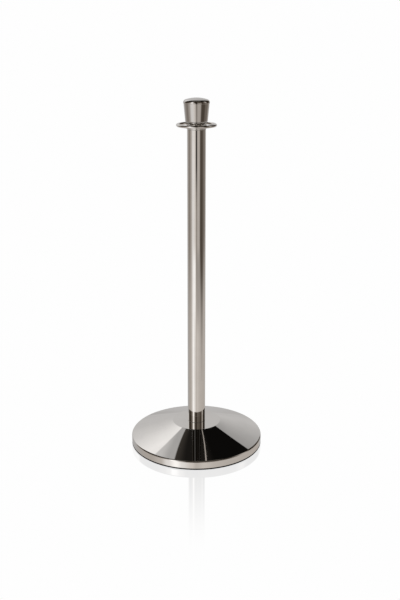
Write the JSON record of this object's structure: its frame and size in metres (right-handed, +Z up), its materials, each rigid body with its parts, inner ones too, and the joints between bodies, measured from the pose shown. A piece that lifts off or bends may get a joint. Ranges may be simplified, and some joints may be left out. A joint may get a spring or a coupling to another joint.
{
  "type": "rope barrier post",
  "caption": "Free-standing rope barrier post: weighted conical base, plain round tube, turning hook ring at the neck and a tapered screw-on head with a domed cap.",
  "frame": {"origin": "on the floor at the centre of the base", "axes": "+Z up along the post; the part is round about +Z, and the two bars that carry the rope ring stand along Y"},
  "size_m": [0.382, 0.382, 1],
  "materials": {
    "polished_steel": "polished",
    "plain_steel": "satin",
    "zinc_steel": "satin",
    "iron": "matte",
    "rubber": "matte",
    "gasket": "satin",
    "nylon": "satin",
    "acetal": "satin"
  },
  "bodies": {
    "base_and_post": {"floor_ring": "rubber", "base_weight": "iron", "base_cover": "polished_steel", "clamp_plate": "zinc_steel", "spring_washer": "zinc_steel", "base_bolt": "zinc_steel", "foot_gasket": "gasket", "foot_plug": "plain_steel", "post_tube": "polished_steel", "top_plug": "plain_steel", "lower_washer": "nylon"},
    "rope_ring_assembly": {"ring_collar": "polished_steel", "collar_bush": "acetal", "rope_ring": "polished_steel", "ring_spokes": "polished_steel"},
    "head_carrier": {"upper_washer": "nylon"},
    "head": {"head_body": "polished_steel", "head_insert": "plain_steel", "head_stud": "zinc_steel", "head_nut": "zinc_steel", "head_cap": "polished_steel"}
  },
  "joints": [
    {"name": "ring_turn", "type": "hinge", "parent": "base_and_post", "child": "rope_ring_assembly", "pos_m": [0, 0, 0.928], "axis": [0, 0, 1], "continuous": true},
    {"name": "head_rise", "type": "slide", "parent": "base_and_post", "child": "head_carrier", "axis": [0, 0, 1], "range_m": [0, 0.014]},
    {"name": "head_unscrew", "type": "hinge", "parent": "head_carrier", "child": "head", "pos_m": [0, 0, 0.9375], "axis": [0, 0, 1], "range_deg": [0, 2880]}
  ],
  "couplings": [
    {"joint": "head_rise", "follows": "head_unscrew", "m_per_rad": 0.00027852}
  ]
}
